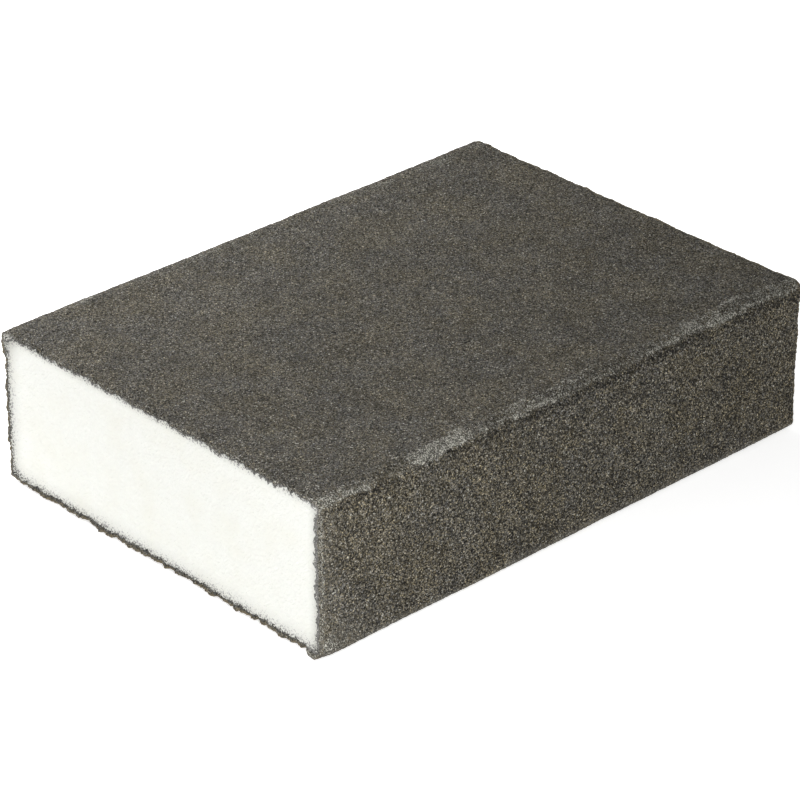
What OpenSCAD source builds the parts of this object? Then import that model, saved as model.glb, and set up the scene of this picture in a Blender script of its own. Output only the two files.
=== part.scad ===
// A four-sided sanding sponge: a soft foam block with an abrasive coat on its four long
// faces and bare, cut foam at its two short ends. X runs along the length, Y across the
// width and Z up. The origin is the middle of the footprint, on the surface it stands on.
//
// Each coat is two layers: a flexible make coat that bonds to the foam, and a layer of
// abrasive grain locked in resin. The top and bottom coats are flat strips. The two side
// coats wrap the rounded long edges and lap onto the top and bottom, flush with them.

/* [Block] */
// Length between the two cut ends
block_length = 95; // [60:1:150]
// Width over the side coats
block_width = 69.3; // [40:0.1:100]
// Thickness over the top and bottom coats
block_thickness = 24.8; // [12:0.1:50]
// Outer radius of the long edges, apart from the front edge of the top
edge_radius = 1.6; // [1.6:0.1:4]
// Outer radius of the front edge of the top, which is pressed rounder than the others
top_front_radius = 2.8; // [1.6:0.1:4]

/* [Coats] */
// Thickness of the make coat, the resin film that bonds the grain to the foam
make_coat_thickness = 0.4; // [0.2:0.05:0.6]
// Thickness of the abrasive grain layer
grit_thickness = 0.7; // [0.3:0.05:0.9]
// How far a side coat laps onto the top and bottom, measured from the side face
lap_width = 4; // [4:0.5:10]

/* [Colours] */
// Bare foam
foam_color = "ivory"; // [ivory, white, wheat, lightgrey]
// Resin of the make coats
resin_color = "grey"; // [grey, dimgrey, sienna]
// Grain on the top and bottom faces
face_grit_color = "#4a463f"; // ["#4a463f":grey, "#5a2f22":garnet, "#2c2c30":black]
// Grain on the side faces
side_grit_color = "#534e46"; // ["#534e46":grey, "#66382a":garnet, "#343438":black]

/* [Hidden] */
$fn = 64;
// The insets of the layers' boundaries from the block's outer surface
outer_inset = 0;
bond_inset = grit_thickness;
foam_inset = grit_thickness + make_coat_thickness;
// The two long sides, as the sign of the Y that each faces
front = -1;
back = 1;
// The corners of the cross-section, as the signs of their Y and Z and their outer radius
CORNERS = [
    [front, 1, top_front_radius],
    [front, -1, edge_radius],
    [back, -1, edge_radius],
    [back, 1, edge_radius]
];
// The flat strip of each face between the laps of the two side coats
strip_width = block_width - 2 * lap_width;
// How far a cutting solid runs past what it cuts
overrun = 1;

// The quarter of a cross-section that ends in a rounded corner, and a little past its middle
module quarter(half_width, half_height, radius) {
    translate([-overrun, -overrun]) {
        square([half_width + overrun, half_height - radius + overrun]);
        square([half_width - radius + overrun, half_height + overrun]);
    }
    translate([half_width - radius, half_height - radius])
        circle(r = radius);
}

// The block's rounded cross-section, with every boundary moved inwards by inset
module section(inset) {
    for (corner = CORNERS)
        mirror([corner[0] < 0 ? 1 : 0, 0])
            mirror([0, corner[1] < 0 ? 1 : 0])
                quarter(block_width / 2 - inset, block_thickness / 2 - inset, corner[2] - inset);
}

// A bar of that cross-section along X, standing where the block stands
module bar(inset, length) {
    translate([0, 0, block_thickness / 2])
        rotate([90, 0, 90])
            linear_extrude(height = length, center = true)
                section(inset);
}

// A flat layer over the strip between the laps, with its underside at height z
module flat_layer(z, thickness) {
    translate([-block_length / 2, -strip_width / 2, z])
        cube([block_length, strip_width, thickness]);
}

// A layer of one side's coat between two insets, with its laps. The side is the sign of the Y
// that it faces, so that each coat keeps the radii of its own two edges
module wrapped_layer(side, near_inset, far_inset) {
    intersection() {
        difference() {
            bar(near_inset, block_length);
            bar(far_inset, block_length + 2 * overrun);
        }
        mirror([0, side > 0 ? 1 : 0, 0])
            translate([-block_length / 2 - overrun, -block_width / 2 - overrun, -overrun])
                cube([
                    block_length + 2 * overrun,
                    lap_width + overrun,
                    block_thickness + 2 * overrun
                ]);
    }
}

module foam_core() {
    color(foam_color)
        bar(foam_inset, block_length);
}

module top_make_coat() {
    color(resin_color)
        flat_layer(block_thickness - foam_inset, make_coat_thickness);
}

module bottom_make_coat() {
    color(resin_color)
        flat_layer(bond_inset, make_coat_thickness);
}

module front_make_coat() {
    color(resin_color)
        wrapped_layer(front, bond_inset, foam_inset);
}

module back_make_coat() {
    color(resin_color)
        wrapped_layer(back, bond_inset, foam_inset);
}

module top_grit_layer() {
    color(face_grit_color)
        flat_layer(block_thickness - grit_thickness, grit_thickness);
}

module bottom_grit_layer() {
    color(face_grit_color)
        flat_layer(outer_inset, grit_thickness);
}

module front_grit_layer() {
    color(side_grit_color)
        wrapped_layer(front, outer_inset, bond_inset);
}

module back_grit_layer() {
    color(side_grit_color)
        wrapped_layer(back, outer_inset, bond_inset);
}

foam_core();
top_make_coat();
bottom_make_coat();
front_make_coat();
back_make_coat();
top_grit_layer();
bottom_grit_layer();
front_grit_layer();
back_grit_layer();
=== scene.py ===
"""The looks of a four-sided sanding sponge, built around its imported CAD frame.

X runs along the block, Y across it and Z up. The skin of the block is worked out once, as a
closed loop round its cross-section swept along X, and each coat is a slice of that skin.
"""
import math

import bpy
import numpy as np
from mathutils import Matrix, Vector


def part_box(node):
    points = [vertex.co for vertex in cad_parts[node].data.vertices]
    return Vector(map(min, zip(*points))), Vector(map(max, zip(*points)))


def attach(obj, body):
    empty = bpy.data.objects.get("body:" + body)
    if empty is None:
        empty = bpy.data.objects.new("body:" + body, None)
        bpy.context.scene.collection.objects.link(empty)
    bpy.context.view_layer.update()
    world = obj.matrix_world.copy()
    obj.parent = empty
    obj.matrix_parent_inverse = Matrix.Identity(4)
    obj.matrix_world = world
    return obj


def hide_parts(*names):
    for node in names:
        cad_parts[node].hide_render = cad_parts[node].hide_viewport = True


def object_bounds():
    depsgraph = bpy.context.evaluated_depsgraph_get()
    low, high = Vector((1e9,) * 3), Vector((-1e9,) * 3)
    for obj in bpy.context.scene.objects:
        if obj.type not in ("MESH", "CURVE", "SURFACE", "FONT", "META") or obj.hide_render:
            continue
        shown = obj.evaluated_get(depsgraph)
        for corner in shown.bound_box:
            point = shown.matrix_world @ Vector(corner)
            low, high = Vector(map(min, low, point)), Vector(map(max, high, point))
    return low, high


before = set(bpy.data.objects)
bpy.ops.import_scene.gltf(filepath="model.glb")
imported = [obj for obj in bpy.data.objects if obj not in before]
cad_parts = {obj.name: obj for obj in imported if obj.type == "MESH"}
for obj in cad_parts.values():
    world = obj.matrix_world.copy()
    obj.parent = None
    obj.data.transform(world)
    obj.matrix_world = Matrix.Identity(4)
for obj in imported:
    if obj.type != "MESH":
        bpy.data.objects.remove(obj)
cad_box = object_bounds()

# ------------------------------------------------------------ sizes, from the frame
MM = 0.001
# the spacing of the skin's mesh: about one abrasive grain, and wide enough to keep each grit
# layer's mesh under 200,000 triangles
GRAIN_STEP = 0.245 * MM


def corner_radii(node):
    """The radii of a node's rounded long edges, read from its own section."""
    points = np.array([v.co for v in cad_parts[node].data.vertices])
    radii = []
    for y_sign, z_sign in ((-1, 1), (-1, -1), (1, -1), (1, 1)):
        across, upright = points[:, 1] * y_sign, points[:, 2] * z_sign
        level = upright > upright.max() - 0.01 * MM
        radii.append(across.max() - across[level].max())
    return radii


low, high = cad_box
length, width, height = high - low
COAT = high.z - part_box("foam_core")[1].z  # make coat and grit layer together
GRIT = high.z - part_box("top_grit_layer")[0].z
wrap_low, wrap_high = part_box("front_grit_layer")
LAP = wrap_high.y - wrap_low.y
# front top, front bottom, back bottom and back top, which is the order round the loop
EDGE_RADII = [COAT + radius for radius in corner_radii("foam_core")]


# ------------------------------------------------------------ the loop round the section
def even_steps(span):
    """How many steps of about one grain make up a stretch, as an even number."""
    return max(2, 2 * round(span / GRAIN_STEP / 2))


def straight(start, end, facing):
    """A flat stretch: its points, the angle that they face and the length of each step."""
    start, end = np.array(start), np.array(end)
    span = np.linalg.norm(end - start)
    count = even_steps(span)
    share = np.arange(count)[:, None] / count
    return start + share * (end - start), np.full(count, facing), np.full(count, span / count)


def turn(start, facing, radius):
    """A quarter turn to the left round a long edge."""
    quarter = math.pi / 2
    count = even_steps(radius * quarter)
    angles = facing + np.arange(count) / count * quarter
    around = np.stack([np.cos(angles), np.sin(angles)], -1)
    points = np.array(start) + radius * (around - around[0])
    return points, angles, np.full(count, radius * quarter / count)


FRONT_TOP, FRONT_BOTTOM, BACK_BOTTOM, BACK_TOP = EDGE_RADII
side_y = width / 2
strip_y = side_y - LAP  # the flat strips of the top and bottom coats end here
EAST, NORTH, WEST, SOUTH = (math.radians(angle) for angle in (0, 90, 180, 270))
FACE_RUNS = {
    "top": [straight((strip_y, height), (-strip_y, height), NORTH)],
    "front": [
        straight((-strip_y, height), (FRONT_TOP - side_y, height), NORTH),
        turn((FRONT_TOP - side_y, height), NORTH, FRONT_TOP),
        straight((-side_y, height - FRONT_TOP), (-side_y, FRONT_BOTTOM), WEST),
        turn((-side_y, FRONT_BOTTOM), WEST, FRONT_BOTTOM),
        straight((FRONT_BOTTOM - side_y, 0), (-strip_y, 0), SOUTH),
    ],
    "bottom": [straight((-strip_y, 0), (strip_y, 0), SOUTH)],
    "back": [
        straight((strip_y, 0), (side_y - BACK_BOTTOM, 0), SOUTH),
        turn((side_y - BACK_BOTTOM, 0), SOUTH, BACK_BOTTOM),
        straight((side_y, BACK_BOTTOM), (side_y, height - BACK_TOP), EAST),
        turn((side_y, height - BACK_TOP), EAST, BACK_TOP),
        straight((side_y - BACK_TOP, height), (strip_y, height), NORTH),
    ],
}
runs = [run for face_runs in FACE_RUNS.values() for run in face_runs]
section = np.concatenate([run[0] for run in runs])
facing = np.concatenate([run[1] for run in runs])
steps = np.concatenate([run[2] for run in runs])
loop_count = len(section)
loop_length = steps.sum()
along_loop = np.cumsum(steps) - steps
outward = np.stack([np.cos(facing), np.sin(facing)], -1)
tangent = np.stack([-np.sin(facing), np.cos(facing)], -1)

face_size = {name: sum(len(run[1]) for run in FACE_RUNS[name]) for name in FACE_RUNS}
face_start = {}
for name, size in face_size.items():
    face_start[name] = sum(face_size[earlier] for earlier in face_start)
run_start = np.cumsum([0] + [len(run[1]) for run in runs])
edge_middles = [
    start + len(run[1]) // 2
    for start, run in zip(run_start, runs)
    if run[1][0] != run[1][-1]
]  # front top, front bottom, back bottom and back top


def face_points(name):
    """The loop's indices from one edge of a face's coat to the other, both included."""
    return np.arange(face_start[name], face_start[name] + face_size[name] + 1) % loop_count


def by_face(**values):
    """One number a face, spread over the points of the loop and softened where faces meet."""
    spread = np.zeros(loop_count)
    for name, value in values.items():
        spread[face_start[name] : face_start[name] + face_size[name]] = value
    return spread


def distance_from(index):
    """How far along the loop each point is past a given one, as a column, shortest way."""
    gap = along_loop - along_loop[index]
    return ((gap + loop_length / 2) % loop_length - loop_length / 2)[:, None]


# ------------------------------------------------------------ seeded noise
column_count = round(length / GRAIN_STEP) + 1
stations = np.linspace(low.x, high.x, column_count)


def cell_and_share(where):
    """Whole cells, and a smoothed share of the way to the next one."""
    cell = np.floor(where).astype(int)
    share = where - cell
    return cell, share * share * (3 - 2 * share)


def ring_noise(cell, seed):
    """Smooth noise from -1 to 1 round the loop."""
    count = max(3, round(loop_length / cell))
    values = np.random.default_rng(seed).uniform(-1, 1, count)
    at, share = cell_and_share(along_loop / loop_length * count)
    return values[at % count] * (1 - share) + values[(at + 1) % count] * share


def line_noise(cell, seed):
    """Smooth noise from -1 to 1 along the block."""
    values = np.random.default_rng(seed).uniform(-1, 1, int(length / cell) + 3)
    at, share = cell_and_share((stations - low.x) / cell)
    return values[at] * (1 - share) + values[at + 1] * share


def cloud(cell, seed, stretch=1.0):
    """Smooth noise from -1 to 1 over the whole skin, which joins up round the loop."""
    rows = max(3, round(loop_length / cell))
    columns = int(length / (cell * stretch)) + 3
    values = np.random.default_rng(seed).uniform(-1, 1, (rows, columns))
    at, share = cell_and_share(along_loop / loop_length * rows)
    share = share[:, None]
    rounded = values[at % rows] * (1 - share) + values[(at + 1) % rows] * share
    at, share = cell_and_share((stations - low.x) / (cell * stretch))
    return rounded[:, at] * (1 - share) + rounded[:, at + 1] * share


def above(values, level):
    """What stands above a level, from 0 at the level to 1 at 1."""
    return np.clip((values - level) / (1 - level), 0, 1)


def bell(distance, reach):
    return np.exp(-((distance / reach) ** 2))


# ------------------------------------------------------------ the skin: resin lines and relief
coarse = np.zeros((loop_count, column_count))
resin = np.zeros((loop_count, column_count))
ridge = np.zeros((loop_count, column_count))
# for each rounded edge: the way round the loop to the side, how far in mm into the side the
# resin line lies from the middle of the edge, how strong it is and how wide it is in mm
EDGE_LINES = [
    (1, 0.1, 1.15, 0.5),  # front top
    (-1, 0.9, 0.35, 0.6),  # front bottom
    (1, 0.9, 0.5, 0.8),  # back bottom
    (-1, -0.3, 0.6, 0.4),  # back top
]
RESIN_LAP = 2.1 * MM  # how far a thin film of resin reaches from the line onto the flat face
LINE_RIDGE = 0.07 * MM  # how far the line stands up, and the seam at the end of its lap
SEAM_RIDGE = 0.05 * MM
into_side = []
for number, (middle, edge_line) in enumerate(zip(edge_middles, EDGE_LINES)):
    way, shift, strength, reach = edge_line
    seed = 20 + 10 * number
    sway = 0.3 * line_noise(14 * MM, seed) + 0.16 * line_noise(1.8 * MM, seed + 1)
    inward = way * distance_from(middle) - (shift + sway) * MM
    into_side.append(inward)
    reach = reach * (1 + 0.5 * line_noise(3 * MM, seed + 2)) * MM
    strength = strength * np.clip(1 + 0.6 * line_noise(5 * MM, seed + 3), 0.5, 1.2)
    broken = np.clip(0.85 + 0.45 * line_noise(1.6 * MM, seed + 10), 0.45, 1.1)
    core = strength * broken * bell(inward, reach) * (0.75 + 0.5 * cloud(0.5 * MM, seed + 8))
    lap_end = RESIN_LAP + 0.5 * MM * line_noise(9 * MM, seed + 4)
    lap_end = lap_end + 0.2 * MM * line_noise(2 * MM, seed + 5)
    on_lap = np.clip((inward + lap_end) / (0.4 * MM), 0, 1) * np.clip(0.5 - inward / (0.4 * MM), 0, 1)
    patchy = strength * np.clip(0.46 + 0.25 * line_noise(6 * MM, seed + 6), 0.2, 0.66)
    patchy = patchy * (0.9 + 0.5 * cloud(0.6 * MM, seed + 9))
    seam = 0.75 * strength * above(line_noise(3 * MM, seed + 7), -0.2) * bell(inward + lap_end, 0.3 * MM)
    resin = np.maximum.reduce([resin, core, patchy * on_lap, seam])
    ridge += LINE_RIDGE * core + SEAM_RIDGE * seam
for first, second in ((0, 1), (2, 3)):
    deep = np.minimum(into_side[first], into_side[second]) + 0.3 * MM * cloud(0.7 * MM, 70 + first)
    coarse = np.maximum(coarse, np.clip(0.4 + deep / (1.0 * MM), 0, 1))

# by the left end both sides' grain is smeared with resin from the cut, most of all in the
# front side's bottom corner
from_left = stations - low.x
low_corner = bell(from_left, 7 * MM) * bell(distance_from(edge_middles[1]) + 2 * MM, 3 * MM)
smear = np.maximum(low_corner, 0.45 * bell(from_left, 2.2 * MM) * coarse)
coarse = coarse * (1 - 0.7 * smear)
resin = np.maximum(resin, smear * (0.4 + 0.3 * cloud(1.1 * MM, 19)))

grain = np.random.default_rng(11).uniform(-1, 1, (loop_count, column_count))
pits = above(cloud(0.55 * MM, 12), 0.9) * (1 - coarse)
# painted shade, as dark specks in the grains' gaps: in the pits of the faces, on the sides more and
# more away from the left end as a painted fall-off of the light, and in a band just under the front top
# line of resin
gaps = 1.5 * pits + 0.1 * coarse * np.clip(0.1 + from_left / (50 * MM), 0, 1)
gaps = gaps + 0.17 * (1 + line_noise(4 * MM, 71)) * bell(into_side[0] - 1.1 * MM, 0.7 * MM)

wander = np.zeros((loop_count, column_count))
for number, name in enumerate(face_start):
    sway = 0.4 * MM * line_noise(7 * MM, 60 + number)
    wander += sway * bell(distance_from(face_start[name]), 1.2 * MM)

from_end = length / 2 - np.abs(stations)
near_end = np.exp(-from_end / (0.7 * MM))
flare_share = bell(from_end, 1.4 * MM)
crumble_share = bell(from_end, 0.4 * MM)
is_right = stations > 0


def cut_waves(seed):
    """How far the coat stands out or in where the block was cut, round the loop."""
    waves = ring_noise(2.2 * MM, seed) * by_face(top=0.05, front=0.06, bottom=0.08, back=0.26)
    lumps = above(ring_noise(2.6 * MM, seed + 1), 0.3)
    lumps = lumps * by_face(top=0.14, front=0.1, bottom=0.55, back=0.25)
    return (waves + lumps + 0.05 * ring_noise(0.9 * MM, seed + 2)) * MM


def cut_overhang(seed):
    """How far the coat's cut edge overhangs the middle of the cut, round the loop."""
    ragged = 0.22 * ring_noise(2.4 * MM, seed) + 0.25 * ring_noise(0.9 * MM, seed + 1)
    stray = np.random.default_rng(seed + 2).uniform(-0.15, 0.15, loop_count)
    return (ragged + stray) * MM


on_edge = np.max([bell(distance_from(middle), 1.4 * MM) for middle in edge_middles], axis=0)
waves = np.where(is_right, 0.6 * cut_waves(100)[:, None], cut_waves(110)[:, None]) * (1 - 0.8 * on_edge)
# the right end's front top corner and the left end's back top corner were left standing proud,
# and the left end's front bottom corner was pulled in
PROUD, PULLED_IN, LIP = 0.4 * MM, 0.3 * MM, 0.8 * MM
right_corner = is_right * bell(distance_from(edge_middles[0]), 1.5 * MM)
left_corner = ~is_right * bell(distance_from(edge_middles[3]), 1.8 * MM)
lip_corner = ~is_right * bell(distance_from(edge_middles[1]), 1.0 * MM)
waves = waves + PROUD * right_corner - PULLED_IN * lip_corner
# at the left end the coat was pulled into a lip along the front bottom edge when it was cut
lip = LIP * np.exp(-((distance_from(edge_middles[1]) / MM - 0.8) / 2.4) ** 4)
left_overhang = (cut_overhang(130) * by_face(top=1, front=0.4, bottom=1, back=0.8))[:, None]
overhang = np.where(is_right, 0.3 * cut_overhang(120)[:, None], left_overhang + lip)
overhang = overhang * (1 - left_corner) + PROUD * (left_corner + right_corner)
# between its two edges, the front side's coat reaches deeper into the foam than the others do
EXTRA_DEPTH = 1.0 * MM
EXTRA_DEPTH_RISE = 2.5 * MM  # the distance from an edge over which it comes in
extra_depth = np.minimum(distance_from(edge_middles[0]), -distance_from(edge_middles[1]))[:, 0]
extra_depth = EXTRA_DEPTH * np.clip(extra_depth / EXTRA_DEPTH_RISE, 0, 1)
crumble = np.where(is_right, 0.08, 0.14) * MM * (1 + cloud(0.7 * MM, 17))
# brown resin that shows bare on the rim of the coats
left_rim = by_face(top=0, front=0.15, bottom=0.8, back=0.7)[:, None] * (outward[:, 1, None] < 0.5)
right_rim = by_face(top=0.9, front=0.6, bottom=0.5, back=0.5)[:, None]
rim = np.where(is_right, right_rim, left_rim) * (1 + 0.4 * cloud(1.5 * MM, 18))
rim = rim * bell(from_end, 0.35 * MM)
# the relief in mm: single grains and clumps of them, each with what the coarse side grain
# adds, waviness over a few millimetres and over the whole block, and pits
GRAIN_HEIGHT, COARSE_GRAIN_HEIGHT = 0.04, 0.045
CLUMP_HEIGHT, COARSE_CLUMP_HEIGHT = 0.025, 0.03
RIPPLE_HEIGHT, SWELL_HEIGHT, PIT_DEPTH = 0.03, 0.08, 0.15
relief = (
    grain * (GRAIN_HEIGHT + COARSE_GRAIN_HEIGHT * coarse) * MM
    + cloud(0.6 * MM, 13) * (CLUMP_HEIGHT + COARSE_CLUMP_HEIGHT * coarse) * MM
    + cloud(3 * MM, 14) * RIPPLE_HEIGHT * MM
    + cloud(15 * MM, 15) * SWELL_HEIGHT * MM
    - pits * PIT_DEPTH * MM
    + ridge
    + waves * flare_share
    - crumble * crumble_share
)

loose = np.random.default_rng(16)
slide_along = loose.uniform(-0.3, 0.3, relief.shape) * GRAIN_STEP * (from_end > 0.1 * MM)
slide_round = loose.uniform(-0.3, 0.3, relief.shape) * GRAIN_STEP
slide_round[list(face_start.values())] = 0
outer = np.empty((loop_count, column_count, 3))
outer[..., 0] = stations + slide_along + np.sign(stations) * overhang * near_end
outer[..., 1:] = (
    section[:, None]
    + outward[:, None] * relief[..., None]
    + tangent[:, None] * (wander + slide_round)[..., None]
)

# the cut ends of the layers, as rings of points from the foam out to the grit's surface
RING_INSETS = [COAT, (COAT + GRIT) / 2, GRIT, GRIT * 2 / 3, GRIT / 3]
FOAM_RING, BOND_RING, SURFACE_RING = 0, 2, len(RING_INSETS)


def cut_rings(column, seed):
    """Rings of points where the block was cut, with the skin's own edge as the last one."""
    end = math.copysign(1, stations[column])
    wobble = 0.15 * ring_noise(1.8 * MM, seed + 20) + 0.28 * ring_noise(0.75 * MM, seed + 21)
    wobble += np.random.default_rng(seed + 22).uniform(-0.1, 0.1, loop_count)
    wobble *= by_face(top=1.6, front=1, bottom=1, back=1)
    rings = []
    for number, inset in enumerate(RING_INSETS):
        random = np.random.default_rng(seed + number)
        depth = inset / COAT
        stray = random.uniform(-0.03, 0.03, loop_count)
        rise = relief[:, column] * (1 - 0.7 * depth) + (wobble * depth**2 + stray) * MM
        rise -= inset + extra_depth * depth
        ring = section + outward * rise[:, None] + tangent * wander[:, column, None]
        out = overhang[:, column] * (1 - 0.7 * depth) + random.uniform(-0.07, 0.07, loop_count) * MM
        rings.append(np.column_stack([end * (length / 2 + out), ring]))
    rings.append(outer[:, column])
    return np.stack(rings)


LEFT, RIGHT = 0, column_count - 1
left_rings = cut_rings(LEFT, 200)
right_rings = cut_rings(RIGHT, 300)


# ------------------------------------------------------------ closed meshes from grids
class Shell:
    """A closed mesh made of grids that share points, with the map that its textures bake to."""

    def __init__(self):
        self.points = []
        self.point_count = 0
        self.faces = []
        self.maps = []
        self.attributes = {}

    def add(self, points, **attributes):
        """Adds an array of points, with a number for each from every attribute."""
        shape = points.shape[:-1]
        count = int(np.prod(shape))
        index = self.point_count + np.arange(count).reshape(shape)
        self.points.append(points.reshape(-1, 3))
        for name, values in attributes.items():
            values = np.broadcast_to(values, shape).ravel()
            self.attributes.setdefault(name, []).append((self.point_count, values))
        self.point_count += count
        return index

    def grid(self, index, box, flip=False):
        """Quads over a grid of point numbers, mapped to a box (left, low, right, high)."""
        rows, columns = index.shape
        u = np.linspace(box[0], box[2], rows)
        v = np.linspace(box[1], box[3], columns)
        flat = np.stack(np.meshgrid(u, v, indexing="ij"), -1)
        order = [(0, 0), (1, 0), (1, 1), (0, 1)]
        if flip:
            order.reverse()
        corners = [
            (slice(a, rows - 1 + a), slice(b, columns - 1 + b))
            for a, b in order
        ]
        self.faces.extend(np.stack([index[c] for c in corners], -1).reshape(-1, 4).tolist())
        self.maps.append(np.stack([flat[c] for c in corners], -2).reshape(-1, 2))

    def polygon(self, path, box, flip=False):
        """One many-sided face through a path of point numbers, mapped to a box."""
        path = list(path)[::-1] if flip else list(path)
        spots = np.concatenate(self.points)[path][:, [0, 2]]
        share = (spots - spots.min(0)) / np.ptp(spots, 0)
        self.faces.append(path)
        self.maps.append(np.array(box[:2]) + share * (np.array(box[2:]) - box[:2]))

    def build(self, name, material):
        mesh = bpy.data.meshes.new(name)
        mesh.from_pydata(np.concatenate(self.points).tolist(), [], self.faces)
        layer = mesh.uv_layers.new(name="OFBake")
        layer.data.foreach_set("uv", np.concatenate(self.maps).astype(np.float32).ravel())
        for attribute, parts in self.attributes.items():
            values = np.zeros(self.point_count, np.float32)
            for start, part in parts:
                values[start : start + len(part)] = part
            data = mesh.attributes.new(attribute, "FLOAT", "POINT").data
            data.foreach_set("value", values)
        mesh.materials.append(material)
        mesh.update()
        piece = bpy.data.objects.new(name, mesh)
        bpy.context.scene.collection.objects.link(piece)
        return piece


MAP_GAP = 0.004  # kept round each island of a map
# how much pale resin, dark grain and white foam shows where each face's grit layer was cut
CUT_RESIN = {"top": 0.5, "front": 0.7, "bottom": 0.6, "back": 0.5}
CUT_SHADE = {"top": 0.3, "front": 0.0, "bottom": 0.6, "back": 0.55}
CUT_FOAM = {"top": 0.3, "front": 0.1, "bottom": 0.35, "back": 0.7}


def band(low_share, high_share, left_share=0.0, right_share=1.0):
    """A box of the map between two heights, with a gap kept all round it."""
    return (left_share + MAP_GAP, low_share + MAP_GAP, right_share - MAP_GAP, high_share - MAP_GAP)


def grit_piece(face, material):
    """A face's grit layer: its grains outside, its ragged cut ends and its bonded underside."""
    shell = Shell()
    loop = face_points(face)
    surface = shell.add(
        outer[loop],
        grain=0.5 + 0.5 * grain[loop],
        coarse=coarse[loop],
        resin=resin[loop],
        shade=gaps[loop],
        rim=rim[loop],
        foam=0.0,
    )
    shell.grid(surface, band(0, 0.9))
    ends = {}
    for side, rings in ((LEFT, left_rings), (RIGHT, right_rings)):
        points = rings[BOND_RING:SURFACE_RING][:, loop].transpose(1, 0, 2)
        depth = np.linspace(1, 1 / 3, points.shape[1])
        dusty = left_corner[loop, side, None]
        inner = shell.add(
            points,
            grain=np.random.default_rng(400 + side).uniform(0, 1, points.shape[:2]),
            coarse=coarse[loop, side, None],
            resin=CUT_RESIN[face] * (1 - 0.6 * depth),
            shade=CUT_SHADE[face] * depth * (1 - 0.7 * dusty),
            rim=rim[loop, side, None] * (1 - 0.6 * depth),
            foam=CUT_FOAM[face] * depth + 0.2 * dusty,
        )
        ends[side] = np.column_stack([inner, surface[:, side]])
    shell.grid(ends[LEFT], band(0.9, 0.935))
    shell.grid(ends[RIGHT], band(0.935, 0.97), flip=True)
    under = np.column_stack([ends[LEFT][:, 0], ends[RIGHT][:, 0]])
    shell.grid(under, band(0.97, 1, 0, 0.5), flip=True)
    for edge, box in ((0, band(0.97, 1, 0.5, 0.75)), (-1, band(0.97, 1, 0.75, 1))):
        path = [*ends[LEFT][edge, :-1], *surface[edge], *ends[RIGHT][edge, -2::-1]]
        shell.polygon(path, box, flip=edge == -1)
    return shell.build(face + "_grit", material)


# how much of each face's make coat is resin rather than foam, at its foam and at its grit
FILM_SHARE = {"top": (0.6, 1.2), "front": (0.8, 1.25), "bottom": (0.6, 1.15), "back": (0.45, 0.9)}
FILM_TONE = {"top": 0.6, "front": 0.75, "bottom": 0.1, "back": 0.0}  # from dark to pale


def bond_piece(face, material):
    """A face's make coat: a resin film, which shows only as a line round the cut ends."""
    shell = Shell()
    loop = face_points(face)
    ends = {}
    for side, rings in ((LEFT, left_rings), (RIGHT, right_rings)):
        points = rings[FOAM_RING : BOND_RING + 1][:, loop].transpose(1, 0, 2)
        share = np.linspace(*FILM_SHARE[face], points.shape[1])
        ends[side] = shell.add(points, soak=share, tone=FILM_TONE[face])
    shell.grid(ends[LEFT], band(0, 0.3))
    shell.grid(ends[RIGHT], band(0.3, 0.6), flip=True)
    for row, box, flip in ((0, band(0.6, 0.75), True), (-1, band(0.75, 0.9), False)):
        shell.grid(np.column_stack([ends[LEFT][:, row], ends[RIGHT][:, row]]), box, flip)
    for edge, box in ((0, band(0.9, 1, 0, 0.5)), (-1, band(0.9, 1, 0.5, 1))):
        path = [*ends[LEFT][edge], *ends[RIGHT][edge, ::-1]]
        shell.polygon(path, box, flip=edge == -1)
    return shell.build(face + "_make_film", material)


# ------------------------------------------------------------ the foam core
def nearest_two(y, z, cell, seed):
    """Distances to the nearest and second nearest of scattered points, in cells."""
    random = np.random.default_rng(seed)
    rows, columns = int(width / cell) + 5, int(height / cell) + 5
    scatter = random.uniform(0, 1, (rows, columns, 2))
    a, b = (y + width / 2) / cell + 2, z / cell + 2
    cell_a, cell_b = np.floor(a).astype(int), np.floor(b).astype(int)
    first = np.full(y.shape, 9.0)
    second = np.full(y.shape, 9.0)
    for da in (-1, 0, 1):
        for db in (-1, 0, 1):
            near = scatter[cell_a + da, cell_b + db]
            gap = np.hypot(cell_a + da + near[..., 0] - a, cell_b + db + near[..., 1] - b)
            second = np.minimum(second, np.maximum(first, gap))
            first = np.minimum(first, gap)
    return first, second


def coons(top, bottom, left, right):
    """Fills a four-sided outline, whose sides share their corners, with a smooth grid."""
    u = np.linspace(0, 1, len(top))[:, None, None]
    v = np.linspace(0, 1, len(left))[None, :, None]
    across = (1 - v) * top[:, None] + v * bottom[:, None]
    down = (1 - u) * left[None] + u * right[None]
    corners = (
        (1 - u) * (1 - v) * top[0] + u * (1 - v) * top[-1]
        + (1 - u) * v * bottom[0] + u * v * bottom[-1]
    )
    return across + down - corners


def loop_between(start, end):
    """Point numbers round the loop from start to end, both included."""
    return np.arange(start, end + 1 + (loop_count if end < start else 0)) % loop_count


# how far and how strongly the coats' resin, and then fine grey dust, reached into the foam
SOAK_REACH = {"top": 1.6 * MM, "front": 1.0 * MM, "bottom": 2.7 * MM, "back": 2.7 * MM}
SOAK_STRENGTH = {"top": 0.62, "front": 0.4, "bottom": 0.65, "back": 0.65}
HAZE_REACH = {"top": 1.3 * MM, "front": 1.6 * MM, "bottom": 3.0 * MM, "back": 3.0 * MM}
HAZE_STRENGTH = {"top": 0.25, "front": 0.3, "bottom": 0.25, "back": 0.3}


def foam_gaps(y, z):
    """How far a point of the cut is from the coat of each face."""
    return {
        "top": high.z - COAT - z,
        "bottom": z - low.z - COAT,
        "front": y - low.y - COAT - extra_depth.max(),
        "back": high.y - COAT - y,
    }


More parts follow.
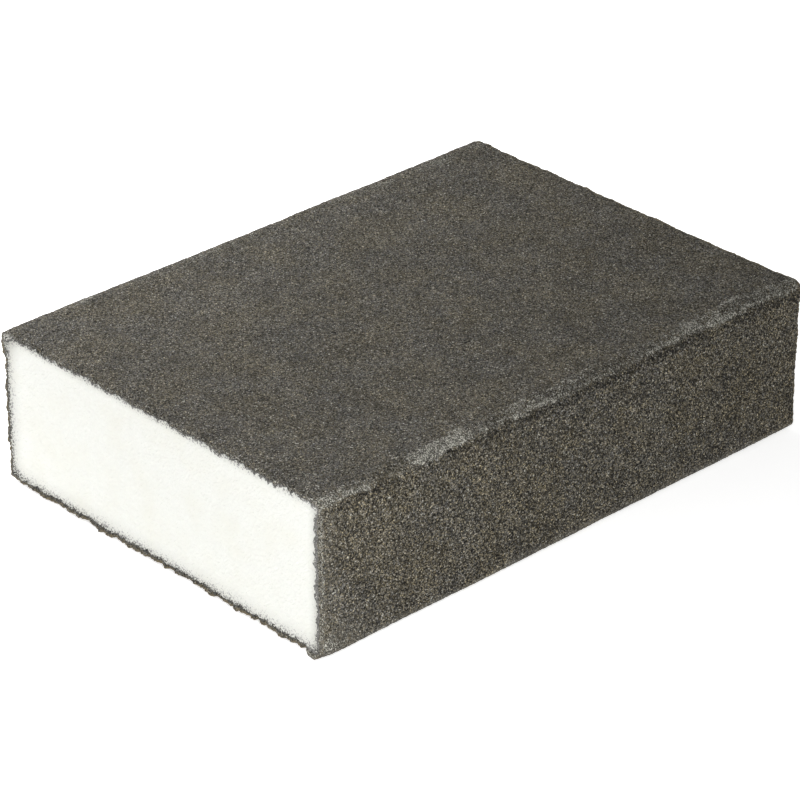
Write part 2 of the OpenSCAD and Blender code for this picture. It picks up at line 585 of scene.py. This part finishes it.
def soak_at(y, z):
    """How much of the coats' resin and dust reached into the foam at a point of the cut."""
    clean = np.ones(np.shape(y))
    for face, gap in foam_gaps(y, z).items():
        clean *= 1 - SOAK_STRENGTH[face] * np.clip(1 - gap / SOAK_REACH[face], 0, 1) ** 1.3
    return 1 - clean


def haze_at(y, z):
    """How grey the foam is from fine dust, most of all in its back top corner."""
    gaps = foam_gaps(y, z)
    clean = 1 - 0.4 * bell(np.hypot(gaps["top"], gaps["back"]), 2.2 * MM)
    for face, gap in gaps.items():
        clean *= 1 - HAZE_STRENGTH[face] * np.clip(1 - gap / HAZE_REACH[face], 0, 1) ** 1.5
    return 1 - clean


PORE = 0.75 * MM  # the foam's open cells, and the larger hollows under them
HOLLOW = 2.4 * MM


def foam_end(shell, ring, ring_index, seed, box, flip):
    """Fills one cut end of the foam with its open cells."""
    front_top, front_bottom, back_bottom, back_top = edge_middles
    tall = (front_bottom - front_top + back_top - back_bottom) // 2
    front_bottom = front_top + tall
    back_bottom = front_top + loop_count // 2
    back_top = back_bottom + tall
    top = loop_between(back_top, front_top)
    front = loop_between(front_top, front_bottom)
    bottom = loop_between(front_bottom, back_bottom)[::-1]
    back = loop_between(back_bottom, back_top)[::-1]
    grid = coons(ring[top], ring[bottom], ring[back], ring[front])
    y, z = grid[..., 1], grid[..., 2]
    side = np.sign(ring[0, 0])
    inside = np.clip(np.min(list(foam_gaps(y, z).values()), axis=0) / (0.5 * MM), 0, 1)
    nearest, second = nearest_two(y, z, PORE, seed)
    walls = 1 - np.clip((second - nearest) / 0.45, 0, 1)
    hollow_nearest = nearest_two(y, z, HOLLOW, seed + 1)[0]
    random = np.random.default_rng(seed + 2).uniform(-1, 1, y.shape)
    surface = 0.06 * walls - 0.04 + 0.04 * (hollow_nearest - 0.5) + 0.012 * random
    cut = side * (length / 2 + surface * MM)
    grid[..., 0] = grid[..., 0] * (1 - inside) + cut * inside
    index = np.empty(y.shape, int)
    index[1:-1, 1:-1] = shell.add(
        grid[1:-1, 1:-1],
        soak=soak_at(y, z)[1:-1, 1:-1],
        haze=haze_at(y, z)[1:-1, 1:-1],
        wall=walls[1:-1, 1:-1],
    )
    index[:, 0], index[:, -1] = ring_index[top], ring_index[bottom]
    index[0, :], index[-1, :] = ring_index[back], ring_index[front]
    shell.grid(index, box, flip)


def foam_piece(material):
    """The foam core, whose long faces are hidden under the make coats."""
    shell = Shell()
    rings = {LEFT: left_rings[FOAM_RING], RIGHT: right_rings[FOAM_RING]}
    index = {
        side: shell.add(ring, soak=soak_at(*ring.T[1:]), haze=haze_at(*ring.T[1:]), wall=0.5)
        for side, ring in rings.items()
    }
    foam_end(shell, rings[LEFT], index[LEFT], 500, band(0, 0.45), True)
    foam_end(shell, rings[RIGHT], index[RIGHT], 510, band(0.45, 0.9), False)
    closed = np.append(np.arange(loop_count), 0)
    sides = np.column_stack([index[LEFT][closed], index[RIGHT][closed]])
    shell.grid(sides, band(0.9, 1))
    return shell.build("foam_block", material)


# ------------------------------------------------------------ materials
def grey(value, warmth=0.0):
    """A nearly neutral colour, warmer or cooler by a share of its value."""
    return (value * (1 + 0.85 * warmth), value, value * (1 - 1.75 * warmth), 1)


SPECK = 0.23 * MM  # the size of the resin's specks, in the coats and in the foam alike
THREADS = (0.6, 0.595, 0.55, 1)  # the foam's, where the coats soaked into it
BARE_RESIN = (0.18, 0.153, 0.105, 1)
RESIN_DARK, RESIN_PALE = (0.105, 0.102, 0.088, 1), (0.55, 0.54, 0.475, 1)
PALE_DUST = (0.55, 0.55, 0.5, 1)
COOL_TINT, WARM_TINT = (0.97, 0.985, 1.02, 1), (1.03, 1.01, 0.95, 1)
# the pores' colour is painted shade in the hollows of the open cells, a little darker than the walls
FOAM_PORE_SHADE, FOAM_WALL = (0.762, 0.766, 0.728, 1), (0.781, 0.785, 0.746, 1)
FOAM_WARM = (0.757, 0.755, 0.7, 1)
FOAM_HAZE = (0.26, 0.25, 0.215, 1)


class Material:
    """A procedural material on one Principled shader."""

    def __init__(self, name, **shader_values):
        self.data = bpy.data.materials.new(name)
        self.data.use_nodes = True
        self.tree = self.data.node_tree
        self.shader = self.tree.nodes["Principled BSDF"]
        for socket, value in shader_values.items():
            self.shader.inputs[socket.replace("_", " ")].default_value = value
        self.place = self.add("TexCoord").outputs["Object"]

    def add(self, kind, inputs=None, **settings):
        node = self.tree.nodes.new("ShaderNode" + kind)
        for setting, value in settings.items():
            setattr(node, setting, value)
        for socket, value in (inputs or {}).items():
            self.feed(node.inputs[socket], value)
        return node

    def feed(self, socket, value):
        if isinstance(value, bpy.types.NodeSocket):
            self.tree.links.new(value, socket)
        else:
            socket.default_value = value

    def attribute(self, name):
        return self.add("Attribute", attribute_name=name).outputs["Fac"]

    def math(self, operation, *values):
        return self.add("Math", dict(enumerate(values)), operation=operation).outputs[0]

    def between(self, value, start, end):
        """0 where value is at start or below, 1 at end or above, smooth between."""
        inputs = {"Value": value, "From Min": start, "From Max": end}
        node = self.add("MapRange", inputs, interpolation_type="SMOOTHSTEP")
        return node.outputs["Result"]

    def mix(self, factor, first, second, blend="MIX"):
        node = self.add("Mix", {0: factor, 6: first, 7: second}, data_type="RGBA", blend_type=blend)
        return node.outputs[2]

    def blend(self, factor, first, second):
        return self.add("Mix", {0: factor, 2: first, 3: second}).outputs[0]

    def specks(self, share, rarity, size=SPECK):
        """Ragged specks: all of the surface at a share of 1 or more, hardly any at 0."""
        spread = self.math("MULTIPLY_ADD", share, 0.4, self.noise(size))
        return self.between(spread, rarity - 0.03, rarity + 0.07)

    def ramp(self, value, stops):
        node = self.add("ValToRGB", {"Fac": value})
        elements = node.color_ramp.elements
        while len(elements) < len(stops):
            elements.new(0.5)
        for element, (position, colour) in zip(elements, stops):
            element.position = position
            element.color = colour
        return node.outputs["Color"]

    def noise(self, size, detail=2.0, roughness=0.5):
        inputs = {
            "Vector": self.place,
            "Scale": 1 / size,
            "Detail": detail,
            "Roughness": roughness,
        }
        return self.add("TexNoise", inputs).outputs["Fac"]

    def cells(self, size):
        """A cell's own random colour, and the distance from its middle."""
        node = self.add("TexVoronoi", {"Vector": self.place, "Scale": 1 / size})
        return node.outputs["Color"], node.outputs["Distance"]

    def bump(self, height, distance, strength=1.0):
        inputs = {"Height": height, "Distance": distance, "Strength": strength}
        self.feed(self.shader.inputs["Normal"], self.add("Bump", inputs).outputs["Normal"])


FINE_TONES = [(0.0, 0.02), (0.3, 0.08), (0.7, 0.165), (0.97, 0.25), (1.0, 0.5)]
COARSE_TONES = [(0.0, 0.01), (0.25, 0.055), (0.6, 0.16), (0.95, 0.28), (1.0, 0.5)]
FINE_GRAIN = 0.18 * MM
COARSE_GRAIN = 0.21 * MM


def grit_material(name):
    """Abrasive grains locked in dark resin, finer on the faces and coarser on the sides."""
    made = Material(name, Specular_IOR_Level=0.12)
    coarse = made.attribute("coarse")

    fine_cell, fine_gap = made.cells(FINE_GRAIN)
    coarse_cell, coarse_gap = made.cells(COARSE_GRAIN)
    fine_parts = made.add("SeparateColor", {"Color": fine_cell}).outputs
    coarse_parts = made.add("SeparateColor", {"Color": coarse_cell}).outputs
    fine_tone = made.ramp(fine_parts[0], [(at, grey(value)) for at, value in FINE_TONES])
    coarse_tone = made.ramp(coarse_parts[0], [(at, grey(value)) for at, value in COARSE_TONES])
    fine_tint = made.mix(fine_parts[1], grey(1, 0.03), grey(1, 0.16))
    coarse_tint = made.mix(coarse_parts[1], grey(1, 0.04), grey(1, 0.2))
    fine_tone = made.mix(1.0, fine_tone, fine_tint, "MULTIPLY")
    coarse_tone = made.mix(1.0, coarse_tone, coarse_tint, "MULTIPLY")
    tone = made.mix(coarse, fine_tone, coarse_tone)

    # painted shade: each grain darker towards the gaps round it and where the mesh's relief sinks, times
    # random patches of tone
    fine_gap_shade = made.math("MULTIPLY", made.between(fine_gap, 0.25, 0.75), 0.5)
    coarse_gap_shade = made.math("MULTIPLY", made.between(coarse_gap, 0.3, 0.75), 0.75)
    gap_shade = made.blend(coarse, fine_gap_shade, coarse_gap_shade)
    height = made.math("MULTIPLY_ADD", made.attribute("grain"), 0.7, 0.65)
    patches = made.between(made.noise(4.5 * MM, 4.0, 0.65), 0.3, 0.7)
    shade = made.math("MULTIPLY", height, made.math("SUBTRACT", 1.0, gap_shade))
    shade = made.math("MULTIPLY", shade, made.math("MULTIPLY_ADD", patches, 0.3, 0.85))
    shade_colour = made.add("CombineColor", {0: shade, 1: shade, 2: shade}).outputs[0]
    tone = made.mix(1.0, tone, shade_colour, "MULTIPLY")

    stain = made.between(made.noise(8 * MM, 3.0, 0.6), 0.35, 0.65)
    tone = made.mix(1.0, tone, made.mix(stain, COOL_TINT, WARM_TINT), "MULTIPLY")

    flecks = made.between(made.noise(0.22 * MM), 0.42, 0.62)
    film = made.mix(flecks, RESIN_DARK, RESIN_PALE)
    tone = made.mix(made.specks(made.attribute("resin"), 0.7, 0.2 * MM), tone, film)
    tone = made.mix(made.specks(made.attribute("rim"), 0.65, 0.3 * MM), tone, BARE_RESIN)
    tone = made.mix(made.specks(made.attribute("foam"), 0.7), tone, THREADS)
    dust = made.between(made.noise(0.3 * MM, 0.0), 0.76, 0.82)
    tone = made.mix(made.math("MULTIPLY", dust, 0.7), tone, PALE_DUST)
    # painted shade: dark specks where the "shade" attribute is high, in the pits and gaps of the grit's
    # surface; on the cut ends the same specks are the cut's dark grain
    dark = made.specks(made.attribute("shade"), 0.62)
    tone = made.mix(made.math("MULTIPLY", dark, 0.8), tone, grey(0.01))
    made.feed(made.shader.inputs["Base Color"], tone)

    sparkle = made.between(coarse_parts[2], 0.95, 0.98)
    made.feed(made.shader.inputs["Roughness"], made.math("MULTIPLY_ADD", sparkle, -0.45, 0.8))
    fine_dome = made.math("MULTIPLY", fine_gap, -0.7)
    coarse_dome = made.math("MULTIPLY", coarse_gap, -1.0)
    domes = made.blend(coarse, fine_dome, coarse_dome)
    made.bump(domes, 0.12 * MM, 0.9)
    return made.data


def film_material():
    """The make coat: resin with grain dust, and threads of the white foam that it soaked into."""
    made = Material("make_film", Roughness=0.7, Specular_IOR_Level=0.2)
    blotches = made.between(made.noise(0.3 * MM, 3.0, 0.7), 0.4, 0.65)
    dark = made.mix(blotches, grey(0.01), grey(0.12, 0.05))
    pale = made.mix(blotches, grey(0.12, 0.03), grey(0.25, 0.03))
    tone = made.mix(made.attribute("tone"), dark, pale)
    tone = made.mix(made.specks(made.attribute("soak"), 0.75), THREADS, tone)
    made.feed(made.shader.inputs["Base Color"], tone)
    made.bump(made.noise(0.15 * MM), 0.05 * MM, 0.6)
    return made.data


def foam_material():
    """Fine white open-cell foam, speckled with resin near the coats."""
    made = Material("white_foam", Roughness=0.95, Specular_IOR_Level=0.2)
    distance = made.cells(0.3 * MM)[1]
    pores = made.between(distance, 0.25, 0.8)
    # painted shade: the middle of each open cell darker than its walls
    tone = made.mix(pores, FOAM_PORE_SHADE, FOAM_WALL)
    tone = made.mix(made.between(made.noise(6 * MM), 0.35, 0.8), tone, FOAM_WARM)
    tone = made.mix(made.attribute("haze"), tone, FOAM_HAZE)
    soak = made.attribute("soak")
    darkness = made.math("MULTIPLY", made.math("MULTIPLY", soak, soak), 1.6)
    dirt = made.mix(darkness, grey(0.5, 0.01), grey(0.01, 0.03))
    tone = made.mix(made.specks(soak, 0.75), tone, dirt)
    made.feed(made.shader.inputs["Base Color"], tone)
    made.bump(made.math("ADD", pores, made.attribute("wall")), 0.1 * MM, 0.2)
    return made.data


face_grit = grit_material("face_grit")
side_grit = grit_material("side_grit")
make_film = film_material()
white_foam = foam_material()

# ------------------------------------------------------------ the pieces
for face in FACE_RUNS:
    is_side = face in ("front", "back")
    grit = grit_piece(face, side_grit if is_side else face_grit)
    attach(grit, "root")
    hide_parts(face + "_grit_layer")
    film = bond_piece(face, make_film)
    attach(film, "root")
    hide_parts(face + "_make_coat")

foam = foam_piece(white_foam)
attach(foam, "root")
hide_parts("foam_core")


# ------------------------------------------------------------ floor, light and camera
def direction(azimuth, elevation):
    """From the block towards a viewer. Azimuth 0 looks along +Y; both are in degrees."""
    a, e = math.radians(azimuth), math.radians(elevation)
    return Vector((math.sin(a) * math.cos(e), -math.cos(a) * math.cos(e), math.sin(e)))


middle = (low + high) / 2
FLOOR_GLOW = 0.67
SKY_STRENGTH = 0.235
# name, azimuth and elevation in degrees, distance and size in metres, and power in watts
SOFTBOXES = [
    ("back_left", -160, 38, 0.2, 0.12, 0.335),
    ("back_right", 165, 32, 0.2, 0.12, 0.08),
    ("front_left", -40, 24, 0.155, 0.1, 0.087),
    ("end_left", -130, 6, 0.2, 0.12, 0.042),
    ("front_low", -30, 8, 0.22, 0.12, 0.014),
]
# the camera's azimuth and elevation in degrees, and in mm its distance, where it aims right of
# and above the middle of the block, its focal length and its sensor's width
VIEW_ANGLES = (-43.26, 28.73)
VIEW_DISTANCE = 561.4
VIEW_AIM = (-0.83, -3.04)
FOCAL_LENGTH, SENSOR_WIDTH = 171.2, 36


def add_floor():
    """A pale floor that glows like a light table, so that the shadows stay faint."""
    mesh = bpy.data.meshes.new("floor")
    reach = 30 * length
    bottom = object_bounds()[0].z
    corners = [
        (-reach, -reach, bottom),
        (reach, -reach, bottom),
        (reach, reach, bottom),
        (-reach, reach, bottom),
    ]
    mesh.from_pydata(corners, [], [(0, 1, 2, 3)])
    pale = Material("pale_floor", Specular_IOR_Level=0.0, Emission_Strength=FLOOR_GLOW)
    pale.shader.inputs["Base Color"].default_value = (0.93, 0.93, 0.93, 1)
    pale.shader.inputs["Emission Color"].default_value = (1, 1, 1, 1)
    mesh.materials.append(pale.data)
    floor = bpy.data.objects.new("floor", mesh)
    bpy.context.scene.collection.objects.link(floor)


def add_softbox(name, azimuth, elevation, distance, size, watts):
    light = bpy.data.lights.new(name, "AREA")
    light.shape = "DISK"
    light.size = size
    light.energy = watts
    box = bpy.data.objects.new(name, light)
    towards = direction(azimuth, elevation)
    box.location = middle + towards * distance
    box.rotation_mode = "QUATERNION"
    box.rotation_quaternion = towards.to_track_quat("Z", "Y")
    box.visible_camera = False
    bpy.context.scene.collection.objects.link(box)


def add_sky(strength):
    world = bpy.data.worlds.new("studio")
    world.use_nodes = True
    background = world.node_tree.nodes["Background"]
    background.inputs["Color"].default_value = (1, 1, 1, 1)
    background.inputs["Strength"].default_value = strength
    bpy.context.scene.world = world


def add_camera():
    """Three quarters from the left and above, close to the photographed view."""
    camera = bpy.data.cameras.new("camera")
    camera.sensor_width = SENSOR_WIDTH
    camera.lens = FOCAL_LENGTH
    towards = direction(*VIEW_ANGLES)
    turn_to = towards.to_track_quat("Z", "Y")
    aim = middle + turn_to @ Vector((VIEW_AIM[0] * MM, VIEW_AIM[1] * MM, 0))
    view = bpy.data.objects.new("camera", camera)
    view.location = aim + towards * VIEW_DISTANCE * MM
    view.rotation_mode = "QUATERNION"
    view.rotation_quaternion = turn_to
    camera.clip_start = 0.01
    camera.clip_end = 20
    bpy.context.scene.collection.objects.link(view)
    bpy.context.scene.camera = view


add_floor()
add_sky(SKY_STRENGTH)
for softbox in SOFTBOXES:
    add_softbox(*softbox)
add_camera()
bpy.context.scene.view_settings.view_transform = "Standard"
